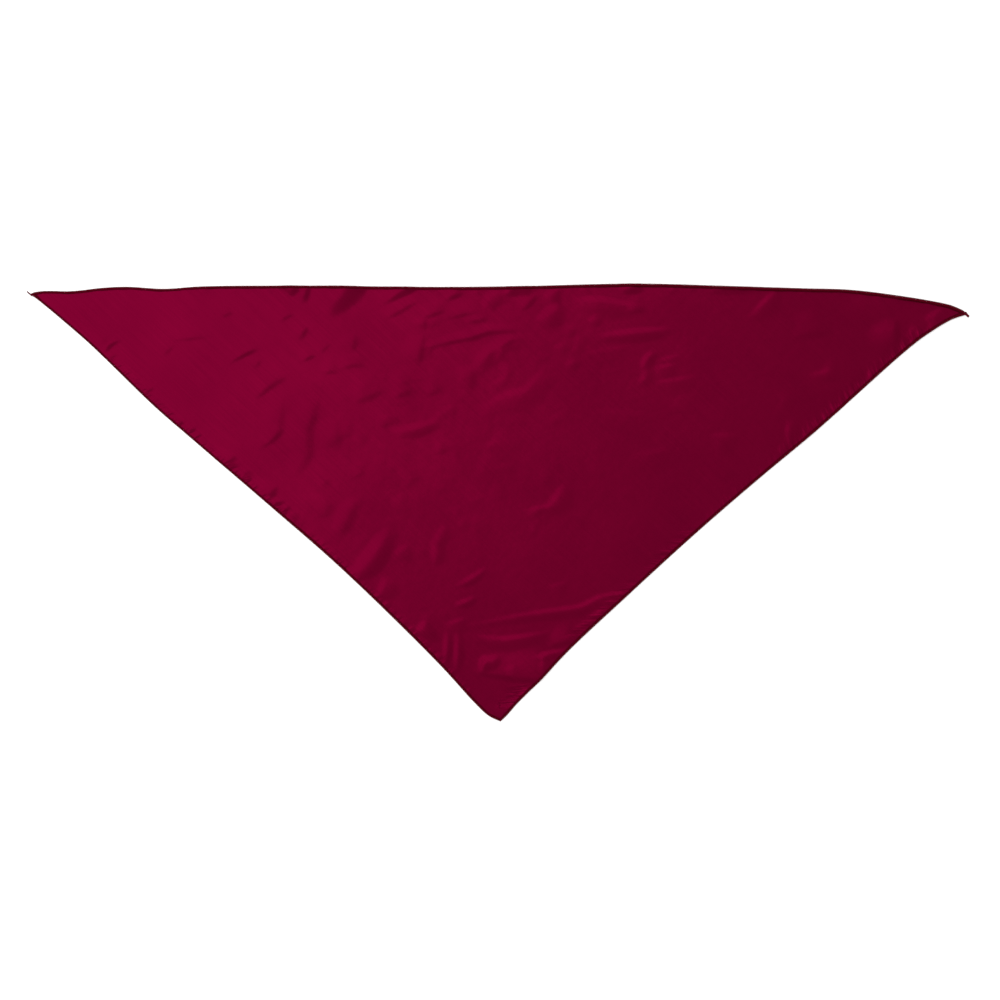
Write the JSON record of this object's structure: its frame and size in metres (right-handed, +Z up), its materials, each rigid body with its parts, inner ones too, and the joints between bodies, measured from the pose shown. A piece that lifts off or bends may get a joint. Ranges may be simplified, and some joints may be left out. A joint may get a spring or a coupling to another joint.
{
  "type": "neckerchief",
  "caption": "Triangular satin neckerchief laid flat, with a narrow overlocked rolled hem along every edge, soft shallow folds and a short thread tail at each sharp corner.",
  "frame": {"origin": "middle of the neckerchief's bounding box at the surface it lies on", "axes": "+Z up out of the cloth, +X along the long edge, +Y from the blunt corner towards the long edge"},
  "size_m": [1.008, 0.4684, 0.007],
  "materials": {
    "satin_cloth": "satin",
    "overlock_thread": "matte"
  },
  "bodies": {
    "root": {"cloth_panel": "satin_cloth", "long_edge_hem": "overlock_thread", "left_edge_hem": "overlock_thread", "right_edge_hem": "overlock_thread", "left_thread_tail": "overlock_thread", "right_thread_tail": "overlock_thread"}
  },
  "joints": []
}
